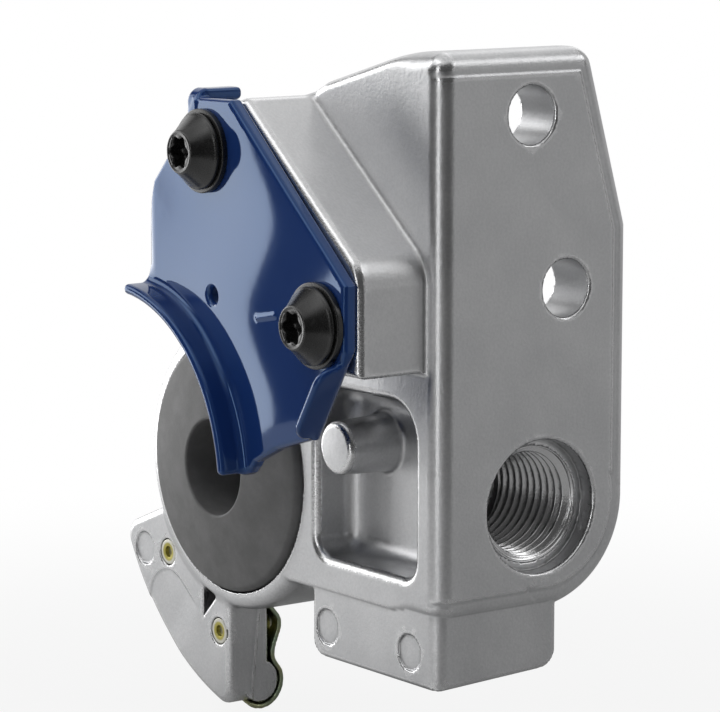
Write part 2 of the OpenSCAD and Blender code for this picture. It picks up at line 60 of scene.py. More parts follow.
# Mounting flange: outline in Y and Z with a round lower end, and a border that steps back a little
FLANGE_T = 10.0
FLANGE_TOP = 111.3
FLANGE_SIDE = 43.2
FLANGE_SLOPE = ((FLANGE_SIDE, 79.5), (9.0, -31.8))
FACE_BOTTOM = 11.7
END = (23.9, 31.0)
END_R = 19.3
CORNER_R = 3.5
BORDER_STEP = 0.4
BORDER_BAND = (-4.6, -3.6)

# Web behind the coupling face: straight sides in X and Z, each given by a point and a direction
WEB_T = 12.0
WEB_SIDES = [
    ((-9.2, FLANGE_TOP), (24.8, 6.7)),
    ((-34, 104.6), (10.2, 5.0)),
    ((-44.2, 99.6), (8.3, 4.6)),
    ((-54, 95), (23.9, 41.1)),
    ((-74, 54), (-9.3, 42)),
]

# Bolt holes, on a line that leans from the upright
BOLT_R = 5.16
BOLT_DEPTH = 14
BOLT_REACH = 15.875
BOLT_LEAN = math.radians(14.4)
BOLTS = [
    (ORIGIN[1] - s * BOLT_REACH * math.sin(BOLT_LEAN), ORIGIN[2] + s * BOLT_REACH * math.cos(BOLT_LEAN))
    for s in (-1, 1)
]

# Air port with its barrel and pipe thread
PORT = (22.7, 30.7)
BARREL_R = 18.2
MOUTH_R = 11.95
MOUTH_DEPTH = 3.5
THREAD_R = 10.4
THREAD_DEPTH = 23.5
THREAD_PITCH = 25.4 / 14
THREAD_MEAN_R = 9.85
THREAD_HALF = 0.62
THREAD_TAPER = 0.03
PASSAGE_R = 7.5

# Housing of the seal, with the depth and radius of each step of its seat, and the seal's own section
SEAL = (-64.7, 31.0)
HOUSING_R = 27.5
HOUSING_DEPTH = 41.0
SEAT_STEPS = ((5.0, 24.1), (9.3, 18.3), (35.0, 15.0))
SEAL_SECTION = [(9.0, -3.7), (9.0, 9.0), (18.0, 9.0), (18.0, 5.0), (23.8, 5.0), (23.8, -0.3), (23.1, -1.1)]

# Arm that carries the plate
ARM_Y = -14.4
ARM_RIGHT = -4
ARM_LEFT = -54
ARM_FOOT = 56.2
ARM_TOP = 100.2
ARM_SIDE = ((ARM_RIGHT, 74.9), (34.2, -27.4))
ARM_CREST = ((-38.2, 102.3), (6.0, 2.1))
ARM_CLEAR_R = 51

# Wing, turned about its own axis, with its parting line, recess, pit and back bead
WING = (-55.2, 34.2)
WING_R = 52.0
WING_END = -66.0
WING_Y = 1.0
WING_BACK = 10.2
WING_CORNER = (-102, 14.1)
WING_CLIMB = math.radians(21.9)
PARTING_Y = 7.6
PARTING_CLIMB = 0.102
PARTING_RIDGE = 0.3
PARTING_HALF = 0.4
RECESS_X = -87.0
RECESS_RUN = (9.4, 7.0)
RECESS_LONG = 11.72
RECESS_R = 7.1
RECESS_DEPTH = 0.26
PIT = (-75.1, 0.1)
PIT_RUN = (4.8, 4.8)
PIT_DEPTH = 8.0
BEAD = (47.6, 8.3)
BEAD_R = 4.0
BEAD_CLEAR_R = 5.6
BEAD_LEAN = math.radians(34)

# Lug under the port
LUG_RIGHT = -1
LUG_LEFT = -38.5
LUG_FACE = 0.4
LUG_REAR = 27.5
LUG_TOP = 25
LUG_DRAFT = 0.045

# Pocket in the coupling face, whose upper right corner is rounder than the rest, and its peg
POCKET = (-22.0, 34.4)
POCKET_HALF = (15.4, 16.4)
POCKET_CORNER_R = (8.0, 4.5)
POCKET_DEPTH = 8.5
POCKET_INSET = 0.8
POCKET_DRAFT = 0.07
PEG = (-26.8, 40.0)
PEG_R = 4.8
PEG_TIP = -3
PEG_ROOT = 10
PEG_DRAFT = 0.04
PEG_CROWN = 0.007

# Ejector marks: place, radius and the face that each is in
MARK_DEPTH = 0.4
EJECTOR_MARKS = [((-33.8, 5.8), 3.25, 0.4), ((-9.2, 5.8), 3.25, 0.4), ((-95.5, 10.0), 3.2, 1.0)]

# Detent plate: outline in X and Z, and the lip, flap, tab, pin hole and tick on it
PLATE_Y = -17.2
PLATE_T = 2.8
LIP = (-68.1, 32.8)
LIP_R = 32.4
LIP_T = 1.9
LIP_TOP = -22.3
FLAP = ((-13.7, 44.9), (-5.0, 58.9))
FLAP_T = 1.5
FLAP_LONG = 15.8
FLAP_TOP = -21.0
TAB_X = -50.3
TAB_HALF = 1.8
TAB_FOOT = 97.5
TAB_LEG_HALF = 1.0
TAB_Z = 102.1
TAB_EAR_HALF = 1.2
TAB_TOP = 103.3
TAB_BACK = -7.4
PIN_R = 1.35
PIN_REACH = 41.2
PIN_TURN = math.radians(60)
PIN_HOLE = (SEAL[0] + PIN_REACH * math.cos(PIN_TURN), SEAL[1] + PIN_REACH * math.sin(PIN_TURN))
TICK = ((-29.9, 64.3), (-24.7, 65.3))
TICK_HEIGHT = 0.22
TICK_HALF = 0.45
PLATE_OUTLINE = [
    (-50, 101.7), (-38.2, 101.9), (-4.3, 72.5), (-4.3, 61.0), FLAP[1], FLAP[0], (-18.8, 43.4),
    (-24.5, 41.6), (-31.0, 38.5), (-31.8, 37.4), (-33.0, 36.3), (-34.5, 36.0), (-45, 36.0),
    (-65.8, 50), (-65.8, 68.3), (-65.4, 75.7), (-64.6, 82.2), (-63.2, 86), (-56.8, 92.8), (-51.8, 99.1),
]

# Screws and washers; a screw's section has a radius, a depth and the share of the socket's lobes in each row
SCREWS = [(-46.3, 92.4), (-11.9, 65.0)]
WASHER_T = 1.2
WASHER_R = (3.3, 7.5)
SCREW_SEAT = PLATE_Y - WASHER_T
SOCKET_LOBES = 6
LOBE_DEPTH = 0.13
SCREW_SECTION = [
    (0.05, -19.9, 0), (2.0, -19.95, 1), (2.45, -20.1, 1), (2.58, -20.5, 1), (2.6, -22.2, 1), (2.68, -22.6, 1),
    (2.85, -22.75, 0.7), (3.1, -22.7, 0), (3.4, -22.7, 0), (3.55, -22.76, 0), (3.75, -22.74, 0),
    (3.95, -22.5, 0), (4.12, -22.1, 0), (6.3, -19.55, 0), (6.5, -19.3, 0), (6.75, -19.15, 0),
    (6.85, -18.9, 0), (6.8, -18.6, 0), (6.6, SCREW_SEAT, 0), (3.2, SCREW_SEAT, 0), (3.0, SCREW_SEAT + 0.3, 0),
    (3.0, -4.8, 0), (2.6, -4.4, 0), (0.05, -4.4, 0),
]

# Tubular rivets and the seats that they have in the wing
RIVETS = [(-87.4, 10.5), (-69.9, -1.9)]
RIVET_SEAT_R = 2.58
RIVET_SEAT_DEPTH = 2.0
RIVET_SECTION = [
    (1.05, 1.2), (1.05, 12.6), (1.9, 12.6), (1.9, 11.9), (1.6, 11.7), (1.6, 2.0), (2.45, 2.0), (2.45, 1.2),
]

# Wear plate: the middle line of its section, in radius about the wing's axis and depth, up to its hook
WEAR_T = 0.8
WEAR_HOLE_R = 1.7
WEAR_SETBACK = 2.0
WEAR_GAP = 0.3
HOOK_R = 4.72
HOOK_TURN = (110, -30)
HOOK_POINTS = 15
WEAR_LINE = [
    (34.0, 10.7), (34.8, 11.4), (35.6, 12.1), (36.4, 12.5), (37.3, 12.6), (38.3, 12.35), (39.4, 11.9),
    (40.6, 11.4), (41.8, 11.05), (42.8, 10.95), (43.7, 11.15), (44.6, 11.7), (45.3, 12.25), (46.0, 12.72),
]

# Reach of the differences taken of a field: for moving a point, for a normal and for how sharply it bends
MOVE_REACH = 0.04
NORMAL_REACH = 0.08
BEND_REACH = 0.7
TINY = 1e-9


# Distances and blends of fields, which are negative inside
def from_axis(u, v, at):
    """Distance from the axis through a point of the plane of u and v."""
    return np.hypot(u - at[0], v - at[1])


def polygon(u, v, points):
    """Signed distance to a closed polygon: least distance to its sides, with the sign from the crossings."""
    points = np.asarray(points, float)
    nearest = np.full(np.broadcast(u, v).shape, np.inf)
    sign = np.ones(nearest.shape)
    for (x0, z0), (x1, z1) in zip(points, np.roll(points, 1, axis=0)):
        ex, ez = x1 - x0, z1 - z0
        wx, wz = u - x0, v - z0
        t = np.clip((wx * ex + wz * ez) / (ex * ex + ez * ez), 0, 1)
        nearest = np.minimum(nearest, (wx - ex * t) ** 2 + (wz - ez * t) ** 2)
        above, below, left = v >= z0, v < z1, ex * wz > ez * wx
        sign = np.where((above & below & left) | ~(above | below | left), -sign, sign)
    return sign * np.sqrt(nearest)


def segment(u, v, start, stop):
    """Distance to a straight stroke from start to stop."""
    ex, ez = stop[0] - start[0], stop[1] - start[1]
    wx, wz = u - start[0], v - start[1]
    t = np.clip((wx * ex + wz * ez) / (ex * ex + ez * ez), 0, 1)
    return np.hypot(wx - ex * t, wz - ez * t)


def plane(u, v, at, along):
    """Signed distance to the line through at in the direction along, positive on its left."""
    length = math.hypot(*along)
    return ((v - at[1]) * along[0] - (u - at[0]) * along[1]) / length


def round_and(a, b, r):
    """Intersection of two fields with an edge of radius r:
    hypot(max(a + r, 0), max(b + r, 0)) + min(max(a, b), -r)."""
    return np.minimum(np.maximum(a, b), -r) + np.hypot(np.maximum(a + r, 0), np.maximum(b + r, 0))


def round_or(a, b, r):
    """Union of two fields with a fillet of radius r:
    max(min(a, b), r) - hypot(max(r - a, 0), max(r - b, 0))."""
    return np.maximum(np.minimum(a, b), r) - np.hypot(np.maximum(r - a, 0), np.maximum(r - b, 0))


def ease_and(a, b, reach, lift):
    """Intersection of two fields, eased where they are alike:
    max(a, b) + lift * max(reach - |a - b|, 0)^2."""
    return np.maximum(a, b) + lift * np.maximum(reach - np.abs(a - b), 0) ** 2


def most(*fields):
    """Sharp intersection of several fields."""
    total = fields[0]
    for field in fields[1:]:
        total = np.maximum(total, field)
    return total


def ramp(v, start, end):
    """Smooth step from 0 at start to 1 at end: t * t * (3 - 2 t)."""
    t = np.clip((v - start) / (end - start), 0, 1)
    return t * t * (3 - 2 * t)


# The casting
def flange(x, y, z):
    """Flange, web and barrel: slabs behind the mounting face and the coupling face, joined by fillets, cut
    to an outline in y and z and to the web's sides in x and z, and rounded where the two faces meet."""
    side_r, top_r, inner_r, back_r, barrel_fillet_r = 0.5, 3.0, 5.0, 1.5, 4.0
    rim_reach, rim_lift = 1.2, 0.2
    edge_drop, drop_start, drop_end = 1.7, 8, 16
    upper = round_and(round_and(y - FLANGE_SIDE, plane(y, z, *FLANGE_SLOPE), side_r), z - FLANGE_TOP, top_r)
    lower = np.maximum(y - END[0], np.abs(z - END[1]) - END_R)
    lower = np.minimum(lower, from_axis(y, z, END) - END_R)
    outline = np.minimum(np.maximum(upper, END[1] - z), lower)
    barrel = most(y - PORT[0], FACE_BOTTOM - z, z - PORT[1] - BARREL_R)
    barrel = np.minimum(barrel, from_axis(y, z, PORT) - BARREL_R)
    web = most(*[plane(x, z, at, along) for at, along in WEB_SIDES])
    rim = ease_and(outline, web, rim_reach, rim_lift)
    corner = round_and(x + BORDER_STEP * ramp(outline, *BORDER_BAND), -y, CORNER_R)
    slab = round_and(round_or(y - WEB_T, -x - FLANGE_T, inner_r), rim, back_r)
    edge_r = CORNER_R - edge_drop * ramp(-x, drop_start, drop_end)
    return np.maximum(round_or(slab, barrel, barrel_fillet_r), round_and(corner, rim, edge_r))


def arm(x, y, z):
    """Arm that carries the plate: planes in x and z, from its seat to the web's back, clear of a circle
    about the seal."""
    right_r, crest_r, left_r, seat_r, back_r = 2.8, 1.0, 1.2, 1.6, 1.2
    side = plane(x, z, *ARM_SIDE)
    top = np.minimum(plane(x, z, *ARM_CREST), z - ARM_TOP)
    clear = ARM_CLEAR_R - from_axis(x, z, SEAL)
    block = most(round_and(x - ARM_RIGHT, side, right_r), round_and(side, top, crest_r), ARM_FOOT - z, clear)
    block = round_and(block, ARM_LEFT - x, left_r)
    return round_and(round_and(block, ARM_Y - y, seat_r), y - WEB_T, back_r)


def housing(x, y, z):
    """Housing of the seal: a cylinder along y with rounded front and back edges."""
    front_r, back_r = 3.0, 8.0
    wall = from_axis(x, z, SEAL) - HOUSING_R
    return most(round_and(wall, -y, front_r), round_and(wall, y - HOUSING_DEPTH, back_r))


def wing_climb(x, z):
    """Distance past the wing's upper edge, a straight line that climbs from its corner."""
    return plane(x, z, WING_CORNER, (math.cos(WING_CLIMB), math.sin(WING_CLIMB)))


def wing(x, y, z):
    """Wing: a slab inside a circle, with a shallow recess on its face, a ridge exp(-((y - parting) / half)^2)
    on its end, a bead along its back and a pit beside the housing."""
    tip_r, end_r, face_r, back_r, pit_r = 4.0, 3.5, 1.4, 0.8, 0.25
    recess_soft, recess_fade = 0.25, (9, 2)
    rho = from_axis(x, z, WING)
    climb = wing_climb(x, z)
    parting = PARTING_Y + PARTING_CLIMB * z
    end = x - WING_END + PARTING_RIDGE - PARTING_RIDGE * np.exp(-((y - parting) / PARTING_HALF) ** 2)
    along = ((x - RECESS_X) * RECESS_RUN[0] - z * RECESS_RUN[1]) / RECESS_LONG
    across = ((x - RECESS_X) * RECESS_RUN[1] + z * RECESS_RUN[0]) / RECESS_LONG
    recess = np.hypot(np.minimum(along, 0), across) - RECESS_R
    face = WING_Y + RECESS_DEPTH * ramp(recess, recess_soft, -recess_soft) * ramp(along, *recess_fade) - y
    outline = round_and(round_and(rho - WING_R, climb, tip_r), end, end_r)
    slab = np.maximum(round_and(outline, face, face_r), round_and(outline, y - WING_BACK, back_r))
    from_bead = from_axis(rho, y, BEAD)
    before = (rho - BEAD[0]) * math.sin(BEAD_LEAN) + (y - BEAD[1]) * math.cos(BEAD_LEAN)
    relief = most(from_bead - BEAD_CLEAR_R, -before, BEAD[0] - rho)
    slab = np.maximum(slab, -relief)
    slab = np.minimum(slab, most(from_bead - BEAD_R, end, climb))
    pit = most(PIT[0] - x, -plane(x, z, PIT, PIT_RUN), y - PIT_DEPTH)
    return round_and(slab, -pit, pit_r)


def lug(x, y, z):
    """Lug under the port: a block with a sloping foot, each of its edges with a radius of its own."""
    heel_r, corner_r, left_r, toe_r, right_r, rear_r = 4.5, 2.8, 1.2, 0.8, 1.0, 1.5
    right, left, face, rear = x - LUG_RIGHT, LUG_LEFT - x, LUG_FACE - y, y - LUG_REAR
    foot = LUG_DRAFT * (y - LUG_FACE) - z
    return most(
        round_and(left, foot, heel_r), round_and(rear, foot, heel_r), round_and(right, face, corner_r),
        round_and(left, face, left_r), round_and(face, foot, toe_r), round_and(right, foot, right_r),
        round_and(right, rear, rear_r), round_and(left, rear, rear_r), z - LUG_TOP,
    )


def with_pocket(body, x, y, z):
    """Cuts the pocket, a rounded rectangle that narrows with depth, and stands the crowned peg in it."""
    floor_r, mouth_r, tip_r, fillet_r = 3.0, 1.6, 1.0, 0.8
    corner_r = np.where((x > POCKET[0]) & (z > POCKET[1]), *POCKET_CORNER_R)
    across = np.abs(x - POCKET[0]) - POCKET_HALF[0] + corner_r
    upright = np.abs(z - POCKET[1]) - POCKET_HALF[1] + corner_r
    rim = np.hypot(np.maximum(across, 0), np.maximum(upright, 0))
    rim = rim + np.minimum(np.maximum(across, upright), 0) - corner_r
    hollow = round_and(rim + POCKET_INSET + POCKET_DRAFT * y, y - POCKET_DEPTH, floor_r)
    body = round_and(body, -hollow, mouth_r)
    from_peg = from_axis(x, z, PEG)
    side = from_peg - PEG_R - PEG_DRAFT * (y - PEG_TIP)
    shank = round_and(side, PEG_TIP - y + PEG_CROWN * from_peg ** 2, tip_r)
    return round_or(body, np.maximum(shank, y - PEG_ROOT), fillet_r)


def with_bores(body, x, y, z):
    """Cuts the port's mouth, bore and passage along x, the seal's stepped seat along y and the bolt holes."""
    edge_r = 0.5
    from_port = from_axis(y, z, PORT)
    from_seal = from_axis(x, z, SEAL)
    body = round_and(body, -np.maximum(from_port - MOUTH_R, -x - MOUTH_DEPTH), edge_r)
    bores = np.maximum(from_port - THREAD_R, -x - THREAD_DEPTH)
    bores = np.minimum(bores, np.maximum(from_port - PASSAGE_R, SEAL[0] - x))
    for depth, radius in SEAT_STEPS:
        bores = np.minimum(bores, np.maximum(from_seal - radius, y - depth))
    body = np.maximum(body, -bores)
    for at in BOLTS:
        body = round_and(body, -np.maximum(from_axis(y, z, at) - BOLT_R, -x - BOLT_DEPTH), edge_r)
    return body


def with_marks(body, x, y, z):
    """Cuts the rivets' seats and the ejector marks, which are shallow bores along y."""
    seat_edge_r, mark_edge_r = 0.3, 0.25
    for at in RIVETS:
        seat = np.maximum(from_axis(x, z, at) - RIVET_SEAT_R, y - RIVET_SEAT_DEPTH)
        body = round_and(body, -seat, seat_edge_r)
    for at, radius, face in EJECTOR_MARKS:
        dent = np.maximum(from_axis(x, z, at) - radius, y - face - MARK_DEPTH)
        body = round_and(body, -dent, mark_edge_r)
    return body


def casting(x, y, z):
    """The casting: arm, housing, wing and lug joined to the flange, with fillets that fade along y, and
    then the cavities cut."""
    least_r, arm_r, housing_r, wing_r = 0.02, 1.1, 3.0, 0.8
    arm_fade, housing_front, housing_back = (5, 2), (2, 6), (38, 30)
    body = flange(x, y, z)
    body = round_or(body, arm(x, y, z), least_r + arm_r * ramp(y, *arm_fade))
    fillet_r = least_r + housing_r * ramp(y, *housing_front) * ramp(y, *housing_back)
    body = round_or(body, housing(x, y, z), fillet_r)
    body = round_or(body, wing(x, y, z), wing_r)
    body = np.minimum(body, lug(x, y, z))
    body = with_pocket(body, x, y, z)
    body = with_bores(body, x, y, z)
    return with_marks(body, x, y, z)


# The two sheets
def plate_rise(x, z):
    """How far the painted sheet stands forward of its flat: a border that curls back by the square of the way
    past its start, a faint wave -height * sin(2 pi (x - middle(z)) / length), and a raised tick."""
    curl, curl_start = 0.11, -62.6
    wave, wave_long = 0.14, 44.0
    middle_x, sway, sway_z, sway_long = -21.0, 4.5, 56.5, 34.0
    lip_fade = (36, 40)
    off_lip = ramp(from_axis(x, z, SEAL), *lip_fade)
    rise = -curl * np.maximum(curl_start - x, 0) ** 2 * off_lip
    middle = middle_x - sway * np.sin(2 * np.pi * (z - sway_z) / sway_long)
    rise = rise - wave * np.sin(2 * np.pi * (x - middle) / wave_long)
    return rise + TICK_HEIGHT * np.exp(-(segment(x, z, *TICK) / TICK_HALF) ** 2)


def plate(x, y, z):
    """The painted sheet: |y - centre| / sqrt(1 + slope^2) under half its thickness, cut to its outline, with
    the lip and the flap turned forward along its edges and the tab folded back at its top."""
    edge_r, corner_r, pin_edge_r = 0.9, 1.0, 0.2
    reach = 0.05
    rise = plate_rise(x, z)
    slope = np.hypot(plate_rise(x + reach, z) - rise, plate_rise(x, z + reach) - rise) / reach
    steep = np.sqrt(1 + slope ** 2)
    flat = np.abs((y - PLATE_Y + rise) / steep - PLATE_T / 2) - PLATE_T / 2
    border = polygon(x, z, PLATE_OUTLINE)
    behind = y - PLATE_Y - PLATE_T

    # Flat sheet, cut back under the lip and round the pin hole
    lip_lap = 0.6
    depth = from_axis(x, z, LIP) - LIP_R
    outline = round_and(border, lip_lap - depth, corner_r)
    outline = round_and(outline, PIN_R - from_axis(x, z, PIN_HOLE), pin_edge_r)
    sheet = round_and(outline, flat, edge_r)

    # Lip, an upright wall along an arc, with a fillet in front and a round bend behind
    lip_fillet_r, lip_bend_r, fade, fade_start, fade_end = 1.6, 2.6, 8, 3, 9
    wall = round_and(np.abs(depth - LIP_T / 2) - LIP_T / 2, LIP_TOP - y, edge_r)
    wall = np.maximum(round_and(wall, border, edge_r), behind)
    sheet = round_or(sheet, wall, lip_fillet_r)
    bend = round_and(-depth, behind - fade * ramp(depth, fade_start, fade_end), lip_bend_r)
    sheet = np.maximum(sheet, bend)

    # Flap, an upright wall along a straight edge
    flap_edge_r, flap_far_r, flap_near_r, flap_fillet_r, flap_bend_r = 0.7, 4.0, 3.0, 1.0, 2.0
    run = np.subtract(FLAP[1], FLAP[0])
    inward = plane(x, z, FLAP[0], run)
    along = ((x - FLAP[0][0]) * run[0] + (z - FLAP[0][1]) * run[1]) / math.hypot(*run)
    ends = round_and(along - FLAP_LONG, FLAP_TOP - y, flap_far_r)
    ends = np.maximum(ends, round_and(-along, FLAP_TOP - y, flap_near_r))
    flap = np.maximum(round_and(np.abs(inward - FLAP_T / 2) - FLAP_T / 2, ends, flap_edge_r), behind)
    sheet = round_or(sheet, flap, flap_fillet_r)
    sheet = np.maximum(sheet, round_and(-inward, behind, flap_bend_r))

    # Tab, a leg in the sheet's plane and an ear folded back over the arm
    ear_edge_r, inner_r, outer_r, tab_edge_r, side_r, root_r = 1.0, 0.9, 2.6, 0.3, 0.8, 0.5
    leg = most(np.abs(y - PLATE_Y - TAB_LEG_HALF) - TAB_LEG_HALF, TAB_FOOT - z)
    ear = round_and(np.abs(z - TAB_Z) - TAB_EAR_HALF, y - TAB_BACK, ear_edge_r)
    tab = round_and(round_or(leg, ear, inner_r), round_and(PLATE_Y - y, z - TAB_TOP, outer_r), tab_edge_r)
    tab = round_and(tab, np.abs(x - TAB_X) - TAB_HALF, side_r)
    return round_or(sheet, tab, root_r)


def wear(x, y, z):
    """The wear plate: a sheet about a line in radius and depth, hooked round the bead, cut to the wing's
    outline and clear of the housing, with a hole for each rivet."""
    edge_r = 0.15
    rho = from_axis(x, z, WING)
    turn = np.radians(np.linspace(*HOOK_TURN, HOOK_POINTS))
    hook = np.stack([BEAD[0] + HOOK_R * np.cos(turn), BEAD[1] + HOOK_R * np.sin(turn)], 1)
    line = np.concatenate([WEAR_LINE, hook[1:]])
    near = np.full(np.broadcast(x, y, z).shape, np.inf)
    for start, stop in zip(line[:-1], line[1:]):
        near = np.minimum(near, segment(rho, y, start, stop))
    clear = HOUSING_R + WEAR_GAP - from_axis(x, z, SEAL)
    region = most(x - WING_END, wing_climb(x, z) + WEAR_SETBACK, clear)
    for at in RIVETS:
        region = np.maximum(region, WEAR_HOLE_R - from_axis(x, z, at))
    return round_and(near - WEAR_T / 2, region, edge_r)


# Meshes
def around(field, points, reach):
    """Values of a field a reach ahead of and behind each point, as a pair for each axis."""
    for axis in range(3):
        step = np.zeros(3)
        step[axis] = reach
        yield field(*(points + step).T), field(*(points - step).T)


def gradient(field, points, reach):
    """Central differences of a field at points, one column for each axis."""
    return np.stack([(ahead - back) / (2 * reach) for ahead, back in around(field, points, reach)], 1)


def onto(field, points, rounds):
    """Points moved onto the field's zero by Newton steps p - f g / |g|^2, each of 0.4 mm at most."""
    most_move, least_square = 0.4, 0.05
    for _ in range(rounds):
        g = gradient(field, points, MOVE_REACH)
        f = field(*points.T)
        move = g * (f / np.maximum((g * g).sum(1), least_square))[:, None]
        length = np.linalg.norm(move, axis=1, keepdims=True)
        points = points - move * np.minimum(1, most_move / np.maximum(length, TINY))
    return points


def net(field, low, high, step):
    """Surface net of a field: one vertex in each cell that the surface crosses, at the mean of the crossings
    of the cell's edges, and one quad for each crossed edge of the grid."""
    axes = [np.arange(a, b + step, step) for a, b in zip(low, high)]
    f = field(*np.meshgrid(*axes, indexing="ij", sparse=True)).astype(np.float32)
    inside = f < 0
    corners = np.array([(i, j, k) for i in (0, 1) for j in (0, 1) for k in (0, 1)])
    shape = np.array(f.shape) - 1
    count = np.zeros(shape, np.int8)
    for i, j, k in corners:
        count += inside[i:i + shape[0], j:j + shape[1], k:k + shape[2]]
    active = (count > 0) & (count < 8)
    cells = np.argwhere(active)
    number = np.full(shape, -1, np.int32)
    number[active] = np.arange(len(cells))
    values = np.stack([f[tuple((cells + c).T)] for c in corners], 1)
    total = np.zeros((len(cells), 3))
    hits = np.zeros(len(cells))
    for a in range(8):
        for b in range(a + 1, 8):
            if np.abs(corners[a] - corners[b]).sum() == 1:
                va, vb = values[:, a], values[:, b]
                cross = (va < 0) != (vb < 0)
                t = np.where(cross, va / np.where(cross, va - vb, 1), 0)
                total += cross[:, None] * (corners[a] + t[:, None] * (corners[b] - corners[a]))
                hits += cross
    points = np.array(low) + step * (cells + total / hits[:, None])
    quads = []
    for axis in range(3):
        n = f.shape[axis]
        here = np.take(inside, np.arange(n - 1), axis)
        cross = np.argwhere(here != np.take(inside, np.arange(1, n), axis))
        b, c = (axis + 1) % 3, (axis + 2) % 3
        ok = (cross[:, b] > 0) & (cross[:, c] > 0) & (cross[:, b] < shape[b]) & (cross[:, c] < shape[c])
        cross = cross[ok]
        loop = []
        for db, dc in ((1, 1), (0, 1), (0, 0), (1, 0)):
            cell = cross.copy()
            cell[:, b] -= db
            cell[:, c] -= dc
            loop.append(number[tuple(cell.T)])
        loop = np.stack(loop, 1)
        flip = ~here[tuple(cross.T)]
        loop[flip] = loop[flip][:, ::-1]
        quads.append(loop)
    return points, np.concatenate(quads)


def link(name, mesh):
    """A mesh as an object at the origin of the scene."""
    obj = bpy.data.objects.new(name, mesh)
    bpy.context.scene.collection.objects.link(obj)
    return obj


def new_object(name, points, faces):
    """A mesh object in metres in the row's frame, from points in the gauge."""
    mesh = bpy.data.meshes.new(name)
    points = (np.asarray(points) - ORIGIN) * MM
    sides = faces.shape[1]
    mesh.vertices.add(len(points))
    mesh.vertices.foreach_set("co", points.astype(np.float32).ravel())
    mesh.loops.add(faces.size)
    mesh.loops.foreach_set("vertex_index", faces.astype(np.int32).ravel())
    mesh.polygons.add(len(faces))
    mesh.polygons.foreach_set("loop_start", np.arange(0, faces.size, sides, dtype=np.int32))
    mesh.polygons.foreach_set("use_smooth", np.ones(len(faces), bool))
    mesh.update(calc_edges=True)
    return link(name, mesh)


def mark(obj, name, values):
    """One number for each vertex, for a material to read."""
    data = obj.data.attributes.new(name, "FLOAT", "POINT").data
    data.foreach_set("value", np.asarray(values, np.float32))


def solid_of(field, name, low, high, step, share):
    """A field as a mesh: its net thinned to a share of its faces and put back on the field, with the field's
    normals and, as the mark bend, its Laplacian (sum of the values around - 6 f) / reach^2."""
    first_rounds, last_rounds = 3, 2
    points, quads = net(field, low, high, step)
    full = new_object(name + "_net", onto(field, points, first_rounds), quads)
    thin = full.modifiers.new("thin", "DECIMATE")
    thin.ratio = share
    thin.use_collapse_triangulate = True
    mesh = bpy.data.meshes.new_from_object(full.evaluated_get(bpy.context.evaluated_depsgraph_get()))
    bpy.data.objects.remove(full)
    mesh.name = name
    flat = np.empty(len(mesh.vertices) * 3, np.float32)
    mesh.vertices.foreach_get("co", flat)
    points = onto(field, flat.reshape(-1, 3).astype(float) / MM + ORIGIN, last_rounds)
    mesh.vertices.foreach_set("co", ((points - ORIGIN) * MM).astype(np.float32).ravel())
    normals = gradient(field, points, NORMAL_REACH)
    normals /= np.maximum(np.linalg.norm(normals, axis=1, keepdims=True), TINY)
    mesh.polygons.foreach_set("use_smooth", np.ones(len(mesh.polygons), bool))
    mesh.normals_split_custom_set_from_vertices(normals)
    obj = link(name, mesh)
    bend = -6 * field(*points.T)
    for ahead, back in around(field, points, BEND_REACH):
        bend = bend + ahead + back
    mark(obj, "bend", bend / BEND_REACH ** 2)
    mesh.update()
    return obj


def soften(points, radius, steps=4):
    """A closed profile with each corner replaced by a quadratic Bezier curve that starts a radius from it."""
    most_share = 0.45
    p = np.asarray(points, float)
    before = np.roll(p, 1, axis=0) - p
    after = np.roll(p, -1, axis=0) - p
    la = np.linalg.norm(before, axis=1, keepdims=True)
    lb = np.linalg.norm(after, axis=1, keepdims=True)
    start = p + before / la * np.minimum(radius, most_share * la)
    stop = p + after / lb * np.minimum(radius, most_share * lb)
    t = np.linspace(0, 1, steps + 1)[None, :, None]
    curve = (1 - t) ** 2 * start[:, None] + 2 * t * (1 - t) * p[:, None] + t ** 2 * stop[:, None]
    return curve.reshape(-1, 2)


def full_turn(count):
    """Angles of one turn, as many as count."""
    return np.linspace(0, 2 * np.pi, count, endpoint=False)


def bands(rows, turns, closed):
    """Quads between neighbouring rows of a turned grid, and from the last to the first where it is closed."""
    i, j = np.meshgrid(np.arange(rows if closed else rows - 1), np.arange(turns), indexing="ij")
    k, m = (i + 1) % rows, (j + 1) % turns
    return np.stack([i * turns + j, k * turns + j, k * turns + m, i * turns + m], -1).reshape(-1, 4)


def turned(name, at, r, y, t, closed):
    """Rows of radius r and depth y turned about the Y axis through at: x = ax + r cos t, z = az + r sin t."""
    points = np.stack(np.broadcast_arrays(at[0] + r * np.cos(t), y, at[1] + r * np.sin(t)), -1)
    return new_object(name, points.reshape(-1, 3), bands(len(y), len(t), closed))


def ring(name, at, profile, turns=96):
    """Closed profile of radius and depth turned about Y."""
    return turned(name, at, profile[:, :1], profile[:, 1:], full_turn(turns), True)


def screw(name, at):
    """Screw turned about Y; the socket's radius is r (1 + 0.13 cos 6 t), and both ends close on the axis."""
    turns, close_within = 120, 0.11
    t = full_turn(turns)
    rows = np.array(SCREW_SECTION)
    r = rows[:, :1] * (1 + LOBE_DEPTH * rows[:, 2:] * np.cos(SOCKET_LOBES * t))
    obj = turned(name, at, r, rows[:, 1:2], t, False)
    close = obj.modifiers.new("close", "WELD")
    close.merge_threshold = close_within * MM
    return obj


